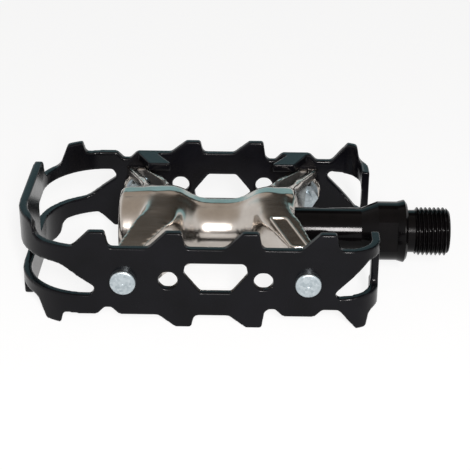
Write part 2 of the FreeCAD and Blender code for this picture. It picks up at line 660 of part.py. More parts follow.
def make_body():
    body = new_body("body")
    ridge = new_sketch(body, "body_ridge", "XZ_Plane")
    upper = waist_line(barrel_radius, d.ridge_height)
    lower = waist_line(barrel_radius, d.ridge_height, -1)
    outline(ridge, upper + lower[::-1])
    extrude(body, "Pad", ridge, d.ridge_width, symmetric=True)

    shared = arm_loft(body, "AdditiveLoft", "body_arm", as_size(0.0), plate_inside, ridge_top)
    shared.append(slope_cut(body, "body_slope", 0.0))

    badge = new_sketch(body, "body_badge", "XY_Plane")
    for inset in (as_size(0.0), d.badge_rim):
        near = d.badge_near + inset
        far = d.badge_far - inset
        half = d.badge_width / 2 - inset
        corners = []
        for depth, edge in ((near, -1), (far, -1), (far, 1), (near, 1)):
            arm_middle = (arm_outer(depth) + arm_inner(depth)) / 2
            corners.append((middle + arm_middle + half * edge, -depth, half / 2))
        outline(badge, corners)
    shared.append(extrude(body, "Pad", badge, ridge_top))
    shared.append(slope_cut(body, "body_badge_slope", d.badge_height))
    shared.append(waist_cut(body))

    feet = new_sketch(body, "body_feet", "XZ_Plane", plate_inside)
    foot_reach = d.washer_diameter / 2 + d.foot_room
    for side in (-1, 1):
        bolt = middle + d.bolt_spacing / 2 * side
        outline(feet, [
            (bolt + foot_reach * side, -d.foot_half_height, d.foot_corner),
            (bolt + foot_reach * side, d.foot_half_height, d.foot_corner),
            (bolt - foot_reach * side, d.foot_half_height, d.foot_corner),
            (bolt - foot_reach * side, -d.foot_half_height, d.foot_corner),
        ])
    shared.append(extrude(body, "Pad", feet, d.foot_thickness, reverse=True))

    channel_top = arm_height(plate_inside) - d.arm_skin
    shared += arm_loft(body, "SubtractiveLoft", "body_channel", d.arm_wall, foot_inside, channel_top)

    pockets = new_sketch(body, "body_nut_pockets", "XZ_Plane", foot_inside)
    holes = new_sketch(body, "body_bolt_holes", "XZ_Plane", plate_inside)
    for side in (-1, 1):
        bolt = middle + d.bolt_spacing / 2 * side
        round_hole(pockets, bolt, 0, d.washer_diameter / 2 + d.nut_room)
        round_hole(holes, bolt, 0, d.bolt_diameter / 2 + d.bolt_clearance)
    shared.append(extrude(body, "Pocket", pockets, d.nut_pocket))
    shared.append(extrude(body, "Pocket", holes, d.foot_thickness + CUT_SPARE))
    half_turn(body, shared)

    barrel = new_sketch(body, "body_barrel", "XZ_Plane")
    outline(barrel, [
        (barrel_left, 0),
        (barrel_left, barrel_radius - d.barrel_edge),
        *waist_line(barrel_radius, 0.0),
        (barrel_right, barrel_radius - d.barrel_edge),
        (barrel_right, 0),
    ])
    turn(body, "Revolution", barrel)

    bore = new_sketch(body, "body_bore", "XZ_Plane")
    outline(bore, [
        (barrel_left - CUT_SPARE, 0),
        (barrel_left - CUT_SPARE, cup_radius),
        (outboard_row + d.cup_depth, cup_radius),
        (outboard_row + d.cup_depth, cup_lip),
        (inboard_row - d.cup_depth, cup_lip),
        (inboard_row - d.cup_depth, cup_radius),
        (barrel_right + CUT_SPARE, cup_radius),
        (barrel_right + CUT_SPARE, 0),
    ])
    turn(body, "Groove", bore)
    return body


# Spindle and what turns with it

def make_spindle():
    body = new_body("spindle")
    profile = new_sketch(body, "spindle_profile", "XZ_Plane")
    flange_back = -d.flange_length
    collar_back = flange_back - d.collar_length
    neck_back = collar_back - d.neck_length
    tail_start = outboard_row + d.cone_nose
    outline(profile, [
        (d.thread_length, 0),
        (d.thread_length, d.thread_radius - d.thread_chamfer),
        (d.thread_length - d.thread_chamfer, d.thread_radius),
        (d.relief_length, d.thread_radius),
        (d.relief_length, d.relief_radius),
        (-d.face_undercut, d.relief_radius),
        (0, d.thread_radius + d.face_clearance),
        (0, d.flange_radius - d.flange_bevel),
        (-d.flange_rim, d.flange_radius),
        (-d.flange_rim - d.flange_edge, d.flange_radius),
        (flange_back, d.collar_radius),
        (collar_back, d.collar_radius),
        (neck_back, d.shaft_radius),
        (inboard_row + race, d.shaft_radius),
        (inboard_row + race, cone_waist, race),
        (tail_start, cone_waist),
        (tail_start, d.tail_radius),
        (spindle_end, d.tail_radius),
        (spindle_end, 0),
    ])
    turn(body, "Revolution", profile)

    flats = new_sketch(body, "spindle_flats", "YZ_Plane", collar_back)
    for side in (-1, 1):
        near = d.wrench_flats / 2 * side
        far = d.flange_radius * 1.2 * side
        outline(flats, [
            (near, -d.flange_radius),
            (far, -d.flange_radius),
            (far, d.flange_radius),
            (near, d.flange_radius),
        ])
    extrude(body, "Pocket", flats, d.collar_length, reverse=True)

    keyway = new_sketch(body, "spindle_keyway", "YZ_Plane", spindle_end)
    outline(keyway, [
        (-d.key_width / 2, d.tail_radius - d.key_depth),
        (d.key_width / 2, d.tail_radius - d.key_depth),
        (d.key_width / 2, d.tail_radius + CUT_SPARE),
        (-d.key_width / 2, d.tail_radius + CUT_SPARE),
    ])
    extrude(body, "Pocket", keyway, cone_back - spindle_end, reverse=True)
    bind(body, "Placement.Rotation.Angle", d.flats_turn)
    body.Placement = Placement(Vector(), Rotation(Vector(1, 0, 0), d.flats_turn.value))
    return body


def turned(label, corners):
    """A ring turned about the spindle axis."""
    body = new_body(label)
    sketch = new_sketch(body, f"{label}_profile", "XZ_Plane")
    outline(sketch, corners)
    turn(body, "Revolution", sketch)
    return body


def make_cup(label, row, inward):
    """A pressed cup whose race opens away from the middle of the barrel."""
    lip = cup_lip + d.fit_gap
    rim = cup_radius - d.fit_gap
    return turned(label, [
        (row + d.cup_depth * inward, lip),
        (row + race * inward, lip),
        (row + race * inward, pitch_radius + race, race),
        (row - d.cup_rim * inward, pitch_radius + race),
        (row - d.cup_rim * inward, rim),
        (row + d.cup_depth * inward, rim),
    ])


def make_cone():
    bore = d.tail_radius + d.fit_gap
    return turned("adjusting_cone", [
        (outboard_row + d.cone_nose - d.fit_gap, bore),
        (outboard_row + d.cone_nose - d.fit_gap, cone_waist),
        (outboard_row - race, cone_waist, race),
        (outboard_row - race, d.shaft_radius),
        (cone_back + d.barrel_edge, d.shaft_radius),
        (cone_back, d.shaft_radius - d.barrel_edge),
        (cone_back, bore),
    ])


def make_lock_washer():
    body = new_body("lock_washer")
    ring = new_sketch(body, "lock_washer_ring", "YZ_Plane", locknut_face)
    round_hole(ring, 0, 0, d.shaft_radius - d.barrel_edge)
    round_hole(ring, 0, 0, d.tail_radius + d.fit_gap)
    extrude(body, "Pad", ring, d.lock_washer_thickness)
    tongue = new_sketch(body, "lock_washer_tongue", "YZ_Plane", locknut_face)
    half_key = d.key_width / 2 - d.key_gap
    outline(tongue, [
        (-half_key, d.tail_radius - d.key_depth + d.key_gap),
        (half_key, d.tail_radius - d.key_depth + d.key_gap),
        (half_key, d.tail_radius + d.key_depth),
        (-half_key, d.tail_radius + d.key_depth),
    ])
    extrude(body, "Pad", tongue, d.lock_washer_thickness)
    bind(body, "Placement.Rotation.Angle", d.flats_turn)
    body.Placement = Placement(Vector(), Rotation(Vector(1, 0, 0), d.flats_turn.value))
    return body


def hex_outline(sketch, flats):
    """Draw a bound hexagon about the sketch's origin."""
    corners = []
    for number in range(6):
        angle = math.radians(60 * number)
        reach = flats * HEX_CORNER
        corners.append((reach * round(math.cos(angle), 6), reach * round(math.sin(angle), 6)))
    outline(sketch, corners)


def make_locknut():
    body = new_body("locknut")
    section = new_sketch(body, "locknut_section", "YZ_Plane", locknut_back)
    hex_outline(section, d.locknut_flats)
    round_hole(section, 0, 0, d.tail_radius + d.fit_gap)
    extrude(body, "Pad", section, d.locknut_height)
    return body


def make_seal():
    back = barrel_right - d.seal_setback - d.seal_length
    return turned("inboard_seal", [
        (back, d.shaft_radius + d.seal_lip),
        (back + d.seal_length, d.shaft_radius + d.seal_lip),
        (back + d.seal_length, cup_radius - d.fit_gap),
        (back, cup_radius - d.fit_gap),
    ])


def make_cap():
    rim = cup_radius - d.fit_gap
    return turned("dust_cap", [
        (barrel_left, 0),
        (barrel_left, rim),
        (barrel_left + d.cap_skirt, rim),
        (barrel_left + d.cap_skirt, rim - d.cap_wall),
        (barrel_left + d.cap_face, rim - d.cap_wall),
        (barrel_left + d.cap_face, 0),
    ])


def make_ball_row(name, row):
    """One row of loose bearing balls."""
    balls = []
    for number in range(BALLS_IN_ROW):
        label = f"{name}_ball_{number + 1:02d}"
        ball = doc.addObject("Part::Sphere", label)
        angle = 360.0 * number / BALLS_IN_ROW
        bind(ball, "Radius", ball_radius)
        bind(ball, "Placement.Base.x", row)
        ball.setExpression("Placement.Base.y", f"{pitch_radius.text} * cos({angle} deg)")
        ball.setExpression("Placement.Base.z", f"{pitch_radius.text} * sin({angle} deg)")
        balls.append(ball)
    return balls


# Cage bolts, washers and nuts, each drawn about its own axis and set in the four bolt places

def draw_bolt(body):
    section = new_sketch(body, f"{body.Name}_section", "XZ_Plane")
    shank = d.bolt_diameter / 2
    head = d.bolt_head_diameter / 2
    length = d.sheet + d.foot_thickness + d.washer_thickness + d.nut_height + d.bolt_spare
    outline(section, [
        (0, -length),
        (shank, -length),
        (shank, 0),
        (head, 0),
        (head, d.bolt_head_height, d.bolt_head_height / 3),
        (0, d.bolt_head_height * 1.15),
    ])
    turn(body, "Revolution", section, "V_Axis")


def draw_washer(body):
    ring = new_sketch(body, f"{body.Name}_ring", "XY_Plane", -(d.sheet + d.foot_thickness + d.washer_thickness))
    round_hole(ring, 0, 0, d.washer_diameter / 2)
    round_hole(ring, 0, 0, d.bolt_diameter / 2 + d.bolt_clearance)
    extrude(body, "Pad", ring, d.washer_thickness)


def draw_nut(body):
    depth = d.sheet + d.foot_thickness + d.washer_thickness + d.nut_height
    section = new_sketch(body, f"{body.Name}_section", "XY_Plane", -depth)
    hex_outline(section, d.nut_flats)
    round_hole(section, 0, 0, d.bolt_diameter / 2 + d.fit_gap)
    extrude(body, "Pad", section, d.nut_height)


def make_fasteners(label, draw):
    """Four like fasteners in one node, their heads on the outside of the plates."""
    group = []
    for plate in PLATES:
        for side in (-1, 1):
            body = new_body(f"{label}_{len(group) + 1}")
            draw(body)
            body.Placement = Placement(
                Vector((middle + d.bolt_spacing / 2 * side).value, (half_width * plate).value, 0),
                Rotation(Vector(1, 0, 0), -90 * plate),
            )
            bind(body, "Placement.Base.x", middle + d.bolt_spacing / 2 * side)
            bind(body, "Placement.Base.y", half_width * plate)
            group.append(body)
    node = doc.addObject("Part::Compound", label)
    node.Links = group
    return node


nodes = [make_cage(), make_body(), make_spindle()]
nodes.append(make_cup("inboard_cup", inboard_row, -1))
nodes.append(make_cup("outboard_cup", outboard_row, 1))
nodes += [make_cone(), make_lock_washer(), make_locknut(), make_seal(), make_cap()]
nodes += make_ball_row("inboard", inboard_row)
nodes += make_ball_row("outboard", outboard_row)
nodes.append(make_fasteners("cage_bolts", draw_bolt))
nodes.append(make_fasteners("cage_washers", draw_washer))
nodes.append(make_fasteners("cage_nuts", draw_nut))
doc.recompute()

# Nothing is written unless every object and every solid is sound
for item in doc.Objects:
    if "Invalid" in item.State or "Error" in item.State:
        raise RuntimeError(f"{item.Label} failed: {item.State}")
for node in nodes:
    if node.Shape.isNull() or not node.Shape.isValid():
        raise RuntimeError(f"{node.Label} has no sound solid")

os.makedirs("parts", exist_ok=True)
for node in nodes:
    node.Shape.exportStep(f"parts/{node.Label}.step")
    print(node.Label, len(node.Shape.Solids), "solids", round(node.Shape.Volume, 1), "mm3")
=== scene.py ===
import json
import math

import bmesh
import bpy
import numpy as np
from mathutils import Matrix, Vector


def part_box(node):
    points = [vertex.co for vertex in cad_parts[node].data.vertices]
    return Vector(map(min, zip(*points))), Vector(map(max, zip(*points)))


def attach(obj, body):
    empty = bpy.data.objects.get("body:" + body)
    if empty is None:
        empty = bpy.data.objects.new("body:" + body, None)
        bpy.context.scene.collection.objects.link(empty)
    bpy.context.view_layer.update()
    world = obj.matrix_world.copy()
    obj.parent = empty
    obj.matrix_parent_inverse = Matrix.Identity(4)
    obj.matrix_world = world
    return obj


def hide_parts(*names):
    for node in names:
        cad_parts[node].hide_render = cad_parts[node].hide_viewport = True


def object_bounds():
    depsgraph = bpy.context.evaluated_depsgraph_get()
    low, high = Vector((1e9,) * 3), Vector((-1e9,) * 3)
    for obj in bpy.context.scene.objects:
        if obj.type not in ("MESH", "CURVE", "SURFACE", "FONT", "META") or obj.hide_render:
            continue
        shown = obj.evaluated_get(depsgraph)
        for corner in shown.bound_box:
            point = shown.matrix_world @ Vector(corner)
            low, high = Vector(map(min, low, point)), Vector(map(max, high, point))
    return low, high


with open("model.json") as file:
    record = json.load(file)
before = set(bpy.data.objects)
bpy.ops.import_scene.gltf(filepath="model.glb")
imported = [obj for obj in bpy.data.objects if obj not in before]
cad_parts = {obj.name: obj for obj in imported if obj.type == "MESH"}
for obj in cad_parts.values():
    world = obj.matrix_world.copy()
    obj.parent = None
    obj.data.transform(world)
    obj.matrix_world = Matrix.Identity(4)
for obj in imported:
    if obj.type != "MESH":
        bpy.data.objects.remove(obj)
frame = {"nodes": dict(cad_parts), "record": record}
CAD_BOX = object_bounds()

MM = 0.001
NODES = frame["nodes"]

# View of the photograph, fitted to the object's own points
VIEW_AZIMUTH = math.radians(1.082)
VIEW_ELEVATION = math.radians(26.5)
VIEW_ROLL = math.radians(0.326)
VIEW_DISTANCE = 400.1 * MM
VIEW_CENTRE = Vector((-50.51, -0.86, -1.72)) * MM
VIEW_PIVOT = Vector((-50.68, 0.0, 0.0)) * MM
IMAGE_PIXELS = 470
FOCAL_PIXELS = 1347.4
SENSOR_MM = 36.0
VIEW_NEAREST = 10.0 * MM

# Crank thread, which the solid leaves plain
THREAD_START = 2.3 * MM
THREAD_RADIUS = 7.14 * MM
THREAD_PITCH = 1.27 * MM
THREAD_DEPTH = 0.78 * MM
THREAD_CHAMFER = 1.0 * MM
THREAD_LEAD = 0.06 * MM
THREAD_FLANK = 1.3
THREAD_ROOT = 0.12
RUN_IN_SLOPE = 1.4
RELIEF_RADIUS = 6.3 * MM
TURN_STEPS = 96
PITCH_STEPS = 14
SHARP_EDGE = math.radians(15)

# Softness of the casting and of the painted sheet
WELD_GAP = 0.002 * MM
CASTING_GRID = 0.44 * MM
SHEET_GRID = 0.40 * MM
SMOOTH_IN = 0.50
SMOOTH_OUT = -0.52
WAIST_ROUNDS = 107
END_ROUNDS = 34
CASTING_ROUNDS = 4
SHEET_ROUNDS = 12

# Where the casting is softened: places at which a change begins, is full, fades and ends.
# ALONG is measured along the spindle from the pedal's middle, SIDE and DEPTH across it in plan,
# and SKIN and REACH outwards from its axis
OUTER_SKIN = (7.5 * MM, 8.5 * MM)
RIDGE_SIDE = (1.9 * MM, 3.4 * MM)
WAIST_ALONG = (4.0 * MM, 8.0 * MM, 15.0 * MM, 19.0 * MM)
WAIST_REACH = (15.0 * MM, 20.0 * MM)
END_ALONG = (16.0 * MM, 18.0 * MM, 24.0 * MM, 26.0 * MM)
END_REACH = (14.0 * MM, 17.0 * MM)
ROOT_ALONG = (5.0 * MM, 10.0 * MM, 13.0 * MM, 19.0 * MM)
ROOT_DEPTH = (1.5 * MM, 6.0 * MM, 12.0 * MM, 21.0 * MM)
ROOT_SPREAD = 0.9 * MM

# Arms of the casting: lines in plan, from the pedal's middle, against the depth from the spindle axis
RIDGE_TOP = 12.94 * MM
ARM_FALL = 0.2186
ARM_OUTER = (18.2 * MM, 0.3366)
ARM_INNER = (3.58 * MM, 0.6183)
ARM_ROOT = 12.6 * MM
ARM_START = 11.0 * MM
ARM_LEAN = 2.4 * MM
CHANNEL_WALL = 1.7 * MM
CHANNEL_FLOOR = -3.45 * MM
CHANNEL_START = 4.25 * MM
CHANNEL_END = 27.2 * MM
CHANNEL_LIP = 0.35 * MM

# Blank rimmed panel on the closed face of each inboard arm
BADGE_NEAR = 13.15 * MM
BADGE_FAR = 25.85 * MM
BADGE_HALF = 2.35 * MM
BADGE_CORNER = 1.2 * MM
RIM_HALF = 0.42 * MM
RIM_HEIGHT = 0.50 * MM
RIM_SINK = 0.05 * MM
RIM_STEPS = 8

# Floor and surround: colours by the height that a ray looks at, -1 straight down to 1 straight up
FLOOR_SIZE = 6.0
FLOOR_COLOUR = (0.20, 0.20, 0.20, 1.0)
FLOOR_GLOW = 0.85
SURROUND_LIGHT = 0.25
WHITE = (1.0, 1.0, 1.0)
BLUE_WALL = (0.36, 0.62, 0.67)
WARM_CEILING = (0.55, 0.49, 0.43)
BROWN_CORNER = (0.055, 0.046, 0.038)
FRONT_BANDS = ((-1.0, WHITE), (0.55, WHITE), (0.85, (0.62, 0.57, 0.52)), (1.0, WARM_CEILING))
BACK_BANDS = (
    (-1.0, WHITE),
    (0.20, WHITE),
    (0.28, BLUE_WALL),
    (0.58, BLUE_WALL),
    (0.64, BROWN_CORNER),
    (0.86, BROWN_CORNER),
    (0.95, WARM_CEILING),
)
CORNER_BANDS = (
    (-1.0, WHITE),
    (0.20, WHITE),
    (0.28, BLUE_WALL),
    (0.40, BLUE_WALL),
    (0.47, BROWN_CORNER),
    (0.86, BROWN_CORNER),
    (0.95, WARM_CEILING),
)

# Turn of the blue wall and of the dark corner to the right, in degrees, and how their edges fade
WALL_TURN = 20.0
WALL_EDGE = (0.40, 0.54)
CORNER_TURN = 55.0
CORNER_EDGE = (0.64, 0.74)

# Lamps: name, azimuth and elevation in degrees, size across and up in metres, power in watts
AIM = Vector((-50.0, 0.0, 0.0)) * MM
LAMP_DISTANCE = 0.60
LAMP_COLOUR = (1.0, 0.96, 0.95)
LAMPS = (
    ("flash_lamp", 0.0, 28.0, (0.26, 0.085), 0.6),
    ("upper_lamp", 0.0, 38.5, (0.30, 0.13), 0.2),
    ("tall_lamp", 7.5, 29.0, (0.045, 0.18), 3.0),
)


# Shapes

def grid_copy(node, grid):
    """A mesh of a node's surface, laid out again on an even grid."""
    piece = bpy.data.objects.new("grid_copy", NODES[node].data.copy())
    bpy.context.scene.collection.objects.link(piece)
    weld = piece.modifiers.new("weld", "WELD")
    weld.merge_threshold = WELD_GAP
    remesh = piece.modifiers.new("remesh", "REMESH")
    remesh.mode = "VOXEL"
    remesh.voxel_size = grid
    graph = bpy.context.evaluated_depsgraph_get()
    mesh = bpy.data.meshes.new_from_object(piece.evaluated_get(graph))
    bpy.data.objects.remove(piece)
    return mesh


def points_of(mesh):
    """The mesh's points as rows of x, y, z."""
    flat = np.empty(len(mesh.vertices) * 3)
    mesh.vertices.foreach_get("co", flat)
    return flat.reshape(-1, 3)


def edges_of(mesh):
    """The mesh's edges as rows of two point numbers."""
    flat = np.empty(len(mesh.edges) * 2, dtype=np.int64)
    mesh.edges.foreach_get("vertices", flat)
    return flat.reshape(-1, 2)


def smooth(points, edges, rounds, weight):
    """Draw each point towards its neighbours, by one weight or a weight for each point."""
    first, second = edges[:, 0], edges[:, 1]
    count = np.bincount(edges.ravel(), minlength=len(points))[:, None]
    for _ in range(rounds):
        total = np.zeros_like(points)
        for axis in range(3):
            total[:, axis] = np.bincount(first, points[second, axis], len(points))
            total[:, axis] += np.bincount(second, points[first, axis], len(points))
        points = points + (total / count - points) * weight
    return points


def even_smooth(points, edges, rounds):
    """Smooth without drawing the shape in: one step in, one step back out."""
    for _ in range(rounds):
        points = smooth(points, edges, 1, SMOOTH_IN)
        points = smooth(points, edges, 1, SMOOTH_OUT)
    return points


def step(value, low, high):
    """0 below the low end, 1 above the high end, and a smooth rise between."""
    share = np.clip((value - low) / (high - low), 0.0, 1.0)
    return share * share * (3.0 - 2.0 * share)


def band(value, begin, full, fade, end):
    """1 in the middle of a band, 0 outside it, and smooth between."""
    return step(value, begin, full) * (1 - step(value, fade, end))


def smooth_piece(name, mesh):
    """A new piece with smooth shading."""
    for face in mesh.polygons:
        face.use_smooth = True
    piece = bpy.data.objects.new(name, mesh)
    bpy.context.scene.collection.objects.link(piece)
    return piece


def stand_for(node, name, mesh, body):
    """A new piece that is shown in place of a node."""
    piece = smooth_piece(name, mesh)
    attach(piece, body)
    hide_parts(node)
    return piece


def arm_face(depth):
    """Height of an arm's sloping faces at a depth from the spindle axis."""
    return RIDGE_TOP - ARM_FALL * depth


def in_channel(place, middle):
    """Whether a place is in the hollow of an arm, which opens upwards at the back and downwards in front."""
    depth = abs(place.y)
    height = place.z * math.copysign(1.0, place.y)
    shift = ARM_LEAN * (RIDGE_TOP + height) / (2 * RIDGE_TOP)
    along = abs(place.x - middle) - shift
    inner = max(ARM_INNER[0] + ARM_INNER[1] * depth, ARM_ROOT)
    outer = ARM_OUTER[0] + ARM_OUTER[1] * depth
    return (
        CHANNEL_START < depth < CHANNEL_END
        and inner + CHANNEL_WALL < along < outer - CHANNEL_WALL
        and CHANNEL_FLOOR < height < arm_face(depth) - CHANNEL_LIP
    )


def soft_casting():
    """The casting with rounded edges and with its arms running into the waist."""
    mesh = grid_copy("body", CASTING_GRID)
    edges = edges_of(mesh)
    points = points_of(mesh)
    low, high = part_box("body")
    middle = (low.x + high.x) / 2
    along = np.abs(points[:, 0] - middle)
    depth = np.abs(points[:, 1])
    radius = np.hypot(points[:, 1], points[:, 2])

    # The closed faces of the arms are levelled here; the rims of their panels are pieces of their own
    closed = -np.sign(points[:, 1])
    proud = (depth > ARM_START) & (points[:, 2] * closed > arm_face(depth))
    points[proud, 2] = (arm_face(depth) * closed)[proud]

    outside = step(radius, *OUTER_SKIN) * step(depth, *RIDGE_SIDE)
    waist = outside * band(along, *WAIST_ALONG) * (1 - step(radius, *WAIST_REACH))
    ends = outside * band(along, *END_ALONG) * (1 - step(radius, *END_REACH))
    points = smooth(points, edges, WAIST_ROUNDS, SMOOTH_IN * waist[:, None])
    points = smooth(points, edges, END_ROUNDS, SMOOTH_IN * ends[:, None])
    points = even_smooth(points, edges, CASTING_ROUNDS)

    offset = points[:, 0] - middle
    root = band(np.abs(offset), *ROOT_ALONG) * band(np.abs(points[:, 1]), *ROOT_DEPTH)
    points[:, 0] -= np.sign(offset) * ROOT_SPREAD * root
    mesh.vertices.foreach_set("co", points.ravel())
    mesh.update()
    piece = stand_for("body", "body_casting", mesh, "pedal")
    dress(piece, "cast_aluminium")
    # The hollows of the arms get the rough as-cast skin, whose darker colour is partly painted shade
    mesh.materials.append(as_cast_and_painted_shade())
    for face in mesh.polygons:
        face.material_index = int(in_channel(face.center, middle))


def rounded_loop(corners, radius, steps):
    """Points round a closed outline whose corners are rounded."""
    loop = []
    for number, corner in enumerate(corners):
        before = (corners[number - 1] - corner).normalized()
        after = (corners[(number + 1) % len(corners)] - corner).normalized()
        start = corner + before * radius
        stop = corner + after * radius
        for part in range(steps + 1):
            share = part / steps
            first = start.lerp(corner, share)
            loop.append(first.lerp(corner.lerp(stop, share), share))
    return loop


def badge_rim(name, side):
    """Raised rim of a blank panel: side -1 is on top of the front arm, 1 is half a turn from it."""
    low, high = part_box("body")
    middle = (low.x + high.x) / 2
    corners = []
    for depth, edge in ((BADGE_NEAR, -1), (BADGE_FAR, -1), (BADGE_FAR, 1), (BADGE_NEAR, 1)):
        inner = ARM_INNER[0] + ARM_INNER[1] * depth
        outer = ARM_OUTER[0] + ARM_OUTER[1] * depth
        corners.append(Vector((middle + (inner + outer) / 2 + BADGE_HALF * edge, depth)))
    loop = rounded_loop(corners, BADGE_CORNER, RIM_STEPS)
    angles = [math.pi * part / RIM_STEPS for part in range(RIM_STEPS + 1)]
    profile = [(math.cos(angle), math.sin(angle)) for angle in angles]
    points = []
    faces = []
    for number, place in enumerate(loop):
        ahead = (loop[(number + 1) % len(loop)] - loop[number - 1]).normalized()
        across = Vector((ahead.y, -ahead.x))
        for wide, tall in profile:
            spot = place + across * RIM_HALF * wide
            height = arm_face(spot.y) + RIM_HEIGHT * tall - RIM_SINK
            points.append((spot.x, spot.y * side, -height * side))
    count = len(profile)
    for number in range(len(loop)):
        here = number * count
        ahead = (number + 1) % len(loop) * count
        for part in range(count):
            beside = (part + 1) % count
            faces.append((here + part, here + beside, ahead + beside, ahead + part))
    mesh = bpy.data.meshes.new(name)
    mesh.from_pydata(points, [], faces)
    work = bmesh.new()
    work.from_mesh(mesh)
    bmesh.ops.recalc_face_normals(work, faces=work.faces)
    work.to_mesh(mesh)
    work.free()
    piece = smooth_piece(name, mesh)
    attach(piece, "pedal")
    dress(piece, "cast_aluminium")


def soft_sheet():
    """The folded sheet with the rounded edges that a thick coat of paint gives."""
    mesh = grid_copy("cage", SHEET_GRID)
    points = even_smooth(points_of(mesh), edges_of(mesh), SHEET_ROUNDS)
    mesh.vertices.foreach_set("co", points.ravel())
    mesh.update()
    return stand_for("cage", "cage_painted_sheet", mesh, "pedal")


def thread_radius(place, angle, end):
    """Outside of the crank thread at a place along it and an angle about it."""
    turn = (place - THREAD_START) / THREAD_PITCH - angle / (2 * math.pi)
    flank = 1.0 - abs(2.0 * (turn % 1.0) - 1.0)
    rise = min(max(THREAD_FLANK * flank - THREAD_ROOT, 0.0), 1.0)
    start_limit = RELIEF_RADIUS + (place - THREAD_START) * RUN_IN_SLOPE
    end_limit = THREAD_RADIUS - THREAD_CHAMFER + (end - place)
    cut = THREAD_RADIUS - THREAD_DEPTH * (1.0 - rise)
    return min(cut, start_limit, end_limit)


def threaded_spindle():
    """The spindle with its crank thread cut as a helix."""
    source = NODES["spindle"].data
    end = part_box("spindle")[1].x
    margin = 0.02 * MM
    points = [tuple(vertex.co) for vertex in source.vertices]
    faces = []
    for face in source.polygons:
        if min(points[index][0] for index in face.vertices) < THREAD_START - margin:
            faces.append(tuple(face.vertices))

    start = THREAD_START + THREAD_LEAD
    rows = round((end - start) / THREAD_PITCH * PITCH_STEPS)
    first = len(points)
    for row in range(rows + 1):
        place = start + (end - start) * row / rows
        for column in range(TURN_STEPS):
            angle = 2 * math.pi * column / TURN_STEPS
            radius = thread_radius(place, angle, end)
            points.append((place, radius * math.cos(angle), radius * math.sin(angle)))
    for row in range(rows):
        for column in range(TURN_STEPS):
            beside = (column + 1) % TURN_STEPS
            here = first + row * TURN_STEPS
            ahead = here + TURN_STEPS
            faces.append((here + column, here + beside, ahead + beside, ahead + column))
    faces.append(tuple(range(first + rows * TURN_STEPS, first + (rows + 1) * TURN_STEPS)))

    mesh = bpy.data.meshes.new("spindle_threaded")
    mesh.from_pydata(points, [], faces)
    work = bmesh.new()
    work.from_mesh(mesh)
    loose = [vertex for vertex in work.verts if not vertex.link_faces]
    bmesh.ops.delete(work, geom=loose, context="VERTS")
    bmesh.ops.remove_doubles(work, verts=work.verts, dist=WELD_GAP)
    rings = [edge for edge in work.edges if edge.is_boundary]
    bmesh.ops.bridge_loops(work, edges=rings)
    bmesh.ops.recalc_face_normals(work, faces=work.faces)
    work.to_mesh(mesh)
    work.free()
    piece = stand_for("spindle", "spindle_threaded", mesh, "spindle")
    mesh.set_sharp_from_angle(angle=SHARP_EDGE)
    return piece


# Materials

def new_material(name):
    """A new material, its tree and its main shader."""
    material = bpy.data.materials.new(name)
    material.use_nodes = True
    tree = material.node_tree
    shader = tree.nodes["Principled BSDF"]
    return material, tree, shader


def noise(tree, scale, detail=4.0, roughness=0.55, stretch=(1.0, 1.0, 1.0)):
    """Noise in the object's own coordinates, scale in cells per metre."""
    place = tree.nodes.new("ShaderNodeTexCoord")
    mapping = tree.nodes.new("ShaderNodeMapping")
    mapping.inputs["Scale"].default_value = stretch
    texture = tree.nodes.new("ShaderNodeTexNoise")
    texture.inputs["Scale"].default_value = scale
    texture.inputs["Detail"].default_value = detail
    texture.inputs["Roughness"].default_value = roughness
    tree.links.new(place.outputs["Object"], mapping.inputs["Vector"])
    tree.links.new(mapping.outputs["Vector"], texture.inputs["Vector"])
    return texture.outputs["Fac"]


def crystals(tree, scale):
    """Flat cells of random brightness, scale in cells per metre."""
    place = tree.nodes.new("ShaderNodeTexCoord")
    texture = tree.nodes.new("ShaderNodeTexVoronoi")
    texture.inputs["Scale"].default_value = scale
    tree.links.new(place.outputs["Object"], texture.inputs["Vector"])
    return texture.outputs["Color"]


def ramp(tree, source, low, high, start=0.35, stop=0.65):
    """Spread a 0 to 1 value between two colours."""
    node = tree.nodes.new("ShaderNodeValToRGB")
    node.color_ramp.elements[0].position = start
    node.color_ramp.elements[0].color = (*low, 1.0)
    node.color_ramp.elements[1].position = stop
    node.color_ramp.elements[1].color = (*high, 1.0)
    tree.links.new(source, node.inputs["Fac"])
    return node.outputs["Color"]


def spread(tree, source, low, high):
    """Map a 0 to 1 value onto a range."""
    node = tree.nodes.new("ShaderNodeMapRange")
    node.inputs["To Min"].default_value = low
    node.inputs["To Max"].default_value = high
    tree.links.new(source, node.inputs["Value"])
    return node.outputs["Result"]


def relief(tree, shader, source, strength, depth):
    """A fine bump."""
    bump = tree.nodes.new("ShaderNodeBump")
    bump.inputs["Strength"].default_value = strength
    bump.inputs["Distance"].default_value = depth
    tree.links.new(source, bump.inputs["Height"])
    tree.links.new(bump.outputs["Normal"], shader.inputs["Normal"])


def paint_black():
    """Gloss black coating of the folded sheet, with a faint orange peel."""
    material, tree, shader = new_material("gloss_black_paint")
    peel = noise(tree, 500.0, 2.0)
    colour = ramp(tree, noise(tree, 60.0), (0.0025, 0.0025, 0.0035), (0.005, 0.005, 0.007))
    tree.links.new(colour, shader.inputs["Base Color"])
    tree.links.new(spread(tree, noise(tree, 120.0), 0.14, 0.28), shader.inputs["Roughness"])
    shader.inputs["Specular IOR Level"].default_value = 0.145
    relief(tree, shader, peel, 0.10, 0.08 * MM)
    return material


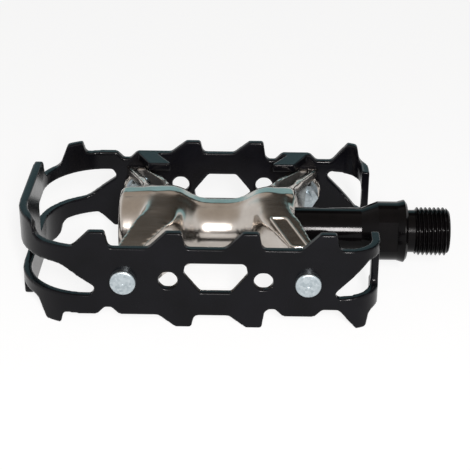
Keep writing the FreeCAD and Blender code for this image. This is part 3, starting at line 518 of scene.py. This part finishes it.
def cast_aluminium():
    """Polished casting: cloudy, with fine marks along the barrel."""
    material, tree, shader = new_material("polished_casting")
    cloud = noise(tree, 120.0)
    marks = noise(tree, 900.0, 3.0, 0.6, (0.12, 1.0, 1.0))
    colour = ramp(tree, cloud, (0.44, 0.40, 0.36), (0.53, 0.49, 0.45))
    tree.links.new(colour, shader.inputs["Base Color"])
    shader.inputs["Metallic"].default_value = 1.0
    tree.links.new(spread(tree, marks, 0.15, 0.25), shader.inputs["Roughness"])
    relief(tree, shader, marks, 0.10, 0.02 * MM)
    return material


def as_cast_and_painted_shade():
    """Unpolished skin inside the arms, with its base colour darkened as painted shade for the hollows."""
    material, tree, shader = new_material("as_cast_skin_and_painted_shade")
    grain = noise(tree, 1800.0, 5.0)
    # Darker than the polished casting: partly the rough as-cast skin, partly painted shade in the hollows
    tree.links.new(ramp(tree, grain, (0.10, 0.095, 0.09), (0.20, 0.19, 0.18)), shader.inputs["Base Color"])
    shader.inputs["Metallic"].default_value = 1.0
    tree.links.new(spread(tree, grain, 0.50, 0.75), shader.inputs["Roughness"])
    relief(tree, shader, grain, 0.5, 0.10 * MM)
    return material


def black_steel():
    """Black finish of the spindle, with turning marks round it."""
    material, tree, shader = new_material("black_spindle_finish")
    marks = noise(tree, 1200.0, 2.0, 0.5, (1.0, 0.06, 0.06))
    colour = ramp(tree, noise(tree, 150.0), (0.002, 0.0017, 0.002), (0.004, 0.0033, 0.0036))
    tree.links.new(colour, shader.inputs["Base Color"])
    tree.links.new(spread(tree, marks, 0.08, 0.15), shader.inputs["Roughness"])
    shader.inputs["Specular IOR Level"].default_value = 0.085
    relief(tree, shader, marks, 0.08, 0.02 * MM)
    return material


def bearing_steel():
    """Ground steel of the bearing."""
    material, tree, shader = new_material("ground_bearing_steel")
    cloud = noise(tree, 700.0)
    colour = ramp(tree, cloud, (0.55, 0.55, 0.56), (0.68, 0.68, 0.69))
    tree.links.new(colour, shader.inputs["Base Color"])
    shader.inputs["Metallic"].default_value = 1.0
    tree.links.new(spread(tree, cloud, 0.12, 0.22), shader.inputs["Roughness"])
    relief(tree, shader, cloud, 0.04, 0.02 * MM)
    return material


def zinc_plating():
    """Bright zinc with a fine crystal pattern."""
    material, tree, shader = new_material("zinc_plating")
    spangle = crystals(tree, 1500.0)
    cloud = noise(tree, 900.0)
    colour = ramp(tree, spangle, (0.38, 0.44, 0.47), (0.57, 0.63, 0.66), 0.1, 0.9)
    tree.links.new(colour, shader.inputs["Base Color"])
    shader.inputs["Metallic"].default_value = 1.0
    tree.links.new(spread(tree, cloud, 0.26, 0.42), shader.inputs["Roughness"])
    relief(tree, shader, cloud, 0.12, 0.05 * MM)
    return material


def dull_black(name, shade, rough):
    """Black rubber or plastic."""
    material, tree, shader = new_material(name)
    grain = noise(tree, 2000.0)
    pale = tuple(1.5 * part for part in shade)
    tree.links.new(ramp(tree, grain, shade, pale), shader.inputs["Base Color"])
    tree.links.new(spread(tree, grain, rough, rough + 0.15), shader.inputs["Roughness"])
    relief(tree, shader, grain, 0.15, 0.04 * MM)
    return material


FINISHES = {
    "black_sheet": paint_black(),
    "cast_aluminium": cast_aluminium(),
    "black_steel": black_steel(),
    "bearing_steel": bearing_steel(),
    "zinc_steel": zinc_plating(),
    "seal_rubber": dull_black("seal_rubber", (0.012, 0.012, 0.012), 0.6),
    "cap_plastic": dull_black("cap_plastic", (0.015, 0.015, 0.017), 0.4),
}


def dress(obj, slot):
    """Give an object one finish all over."""
    obj.data.materials.clear()
    obj.data.materials.append(FINISHES[slot])


for subpart in frame["record"]["subparts"]:
    dress(NODES[subpart["node"]], subpart["material_slot"])

soft_casting()
badge_rim("front_badge_rim", -1)
badge_rim("rear_badge_rim", 1)
dress(soft_sheet(), "black_sheet")
dress(threaded_spindle(), "black_steel")


# Stage: pale floor, surround, soft lamps and the camera

def seen_directly(tree, otherwise, strength):
    """A strength for what the camera sees, also in reflections and through glass."""
    path = tree.nodes.new("ShaderNodeLightPath")
    either = path.outputs["Is Camera Ray"]
    for kind in ("Is Glossy Ray", "Is Transmission Ray"):
        node = tree.nodes.new("ShaderNodeMath")
        node.operation = "MAXIMUM"
        tree.links.new(either, node.inputs[0])
        tree.links.new(path.outputs[kind], node.inputs[1])
        either = node.outputs["Value"]
    return spread(tree, either, otherwise, strength)


def add_floor():
    """A pale floor under the tooth tips that takes the object's shadow."""
    level = CAD_BOX[0][2]
    bpy.ops.mesh.primitive_plane_add(size=FLOOR_SIZE, location=(0.0, 0.0, level))
    floor = bpy.context.object
    floor.name = "studio_floor"
    material, tree, shader = new_material("studio_floor")
    shader.inputs["Base Color"].default_value = FLOOR_COLOUR
    shader.inputs["Roughness"].default_value = 1.0
    shader.inputs["Specular IOR Level"].default_value = 0.0
    shader.inputs["Emission Color"].default_value = (*WHITE, 1.0)
    tree.links.new(seen_directly(tree, 0.0, FLOOR_GLOW), shader.inputs["Emission Strength"])
    floor.data.materials.append(material)


def sky_band(tree, height, bands):
    """Colours of the surround by the height that a ray looks at, -1 straight down to 1 straight up."""
    node = tree.nodes.new("ShaderNodeValToRGB")
    stops = node.color_ramp.elements
    for number, (level, colour) in enumerate(bands):
        place = (level + 1.0) / 2.0
        if number < 2:
            stop = stops[number]
            stop.position = place
        else:
            stop = stops.new(place)
        stop.color = (*colour, 1.0)
    tree.links.new(height, node.inputs["Fac"])
    return node.outputs["Color"]


def sky_part(tree, azimuth, part, low, high):
    """How far a ray, turned by an azimuth in degrees, looks along Y or Z: 0 at low, 1 at high."""
    place = tree.nodes.new("ShaderNodeTexCoord")
    turn = tree.nodes.new("ShaderNodeMapping")
    turn.inputs["Rotation"].default_value = (0.0, 0.0, math.radians(azimuth))
    parts = tree.nodes.new("ShaderNodeSeparateXYZ")
    tree.links.new(place.outputs["Generated"], turn.inputs["Vector"])
    tree.links.new(turn.outputs["Vector"], parts.inputs["Vector"])
    share = spread(tree, parts.outputs[part], 0.0, 1.0)
    share.node.inputs["From Min"].default_value = low
    share.node.inputs["From Max"].default_value = high
    return share


def blend(tree, share, first, second):
    """The first colour where a share is 0, the second where it is 1."""
    mix = tree.nodes.new("ShaderNodeMix")
    mix.data_type = "RGBA"
    factor, colour_a, colour_b = mix.inputs[0], mix.inputs[6], mix.inputs[7]
    tree.links.new(share, factor)
    tree.links.new(first, colour_a)
    tree.links.new(second, colour_b)
    return mix.outputs[2]


def add_world():
    """White round the horizon, a blue wall behind, a dark corner to its right and a dim warm ceiling."""
    world = bpy.data.worlds.new("studio_world")
    bpy.context.scene.world = world
    world.use_nodes = True
    tree = world.node_tree
    background = tree.nodes["Background"]
    height = sky_part(tree, 0.0, "Z", -1.0, 1.0)
    behind = sky_part(tree, WALL_TURN, "Y", *WALL_EDGE)
    corner = sky_part(tree, CORNER_TURN, "Y", *CORNER_EDGE)
    colour = sky_band(tree, height, FRONT_BANDS)
    colour = blend(tree, behind, colour, sky_band(tree, height, BACK_BANDS))
    colour = blend(tree, corner, colour, sky_band(tree, height, CORNER_BANDS))
    tree.links.new(colour, background.inputs["Color"])
    tree.links.new(seen_directly(tree, SURROUND_LIGHT, 1.0), background.inputs["Strength"])


def add_lamp(name, place, target, size, power, colour):
    """A soft lamp that faces a point, size across and up."""
    lamp = bpy.data.lights.new(name, "AREA")
    lamp.shape = "RECTANGLE"
    lamp.size, lamp.size_y = size
    lamp.energy = power
    lamp.color = colour
    holder = bpy.data.objects.new(name, lamp)
    bpy.context.scene.collection.objects.link(holder)
    holder.location = place
    holder.rotation_euler = (Vector(target) - Vector(place)).to_track_quat("-Z", "Y").to_euler()
    holder.visible_camera = False


def towards(azimuth, elevation):
    """Unit direction from the object: azimuth 0 is the front, elevation is above the horizon, in radians."""
    return Vector((
        math.sin(azimuth) * math.cos(elevation),
        -math.cos(azimuth) * math.cos(elevation),
        math.sin(elevation),
    ))


def add_camera():
    """The photograph's camera."""
    place = VIEW_PIVOT + towards(VIEW_AZIMUTH, VIEW_ELEVATION) * VIEW_DISTANCE
    look_back = (place - VIEW_CENTRE).normalized()
    right = Vector((0, 0, 1)).cross(look_back).normalized()
    up = look_back.cross(right)
    side = right * math.cos(VIEW_ROLL) + up * math.sin(VIEW_ROLL)
    top = look_back.cross(side)
    turn = Matrix((side, top, look_back)).transposed().to_4x4()
    data = bpy.data.cameras.new("photo_camera")
    data.sensor_width = SENSOR_MM
    data.lens = FOCAL_PIXELS / IMAGE_PIXELS * SENSOR_MM
    data.clip_start = VIEW_NEAREST
    camera = bpy.data.objects.new("photo_camera", data)
    bpy.context.scene.collection.objects.link(camera)
    camera.matrix_world = Matrix.Translation(place) @ turn
    bpy.context.scene.camera = camera


add_floor()
add_world()
for lamp_name, turn, rise, lamp_size, lamp_power in LAMPS:
    lamp_place = AIM + towards(math.radians(turn), math.radians(rise)) * LAMP_DISTANCE
    add_lamp(lamp_name, lamp_place, AIM, lamp_size, lamp_power, LAMP_COLOUR)
add_camera()
bpy.context.scene.view_settings.view_transform = "Standard"
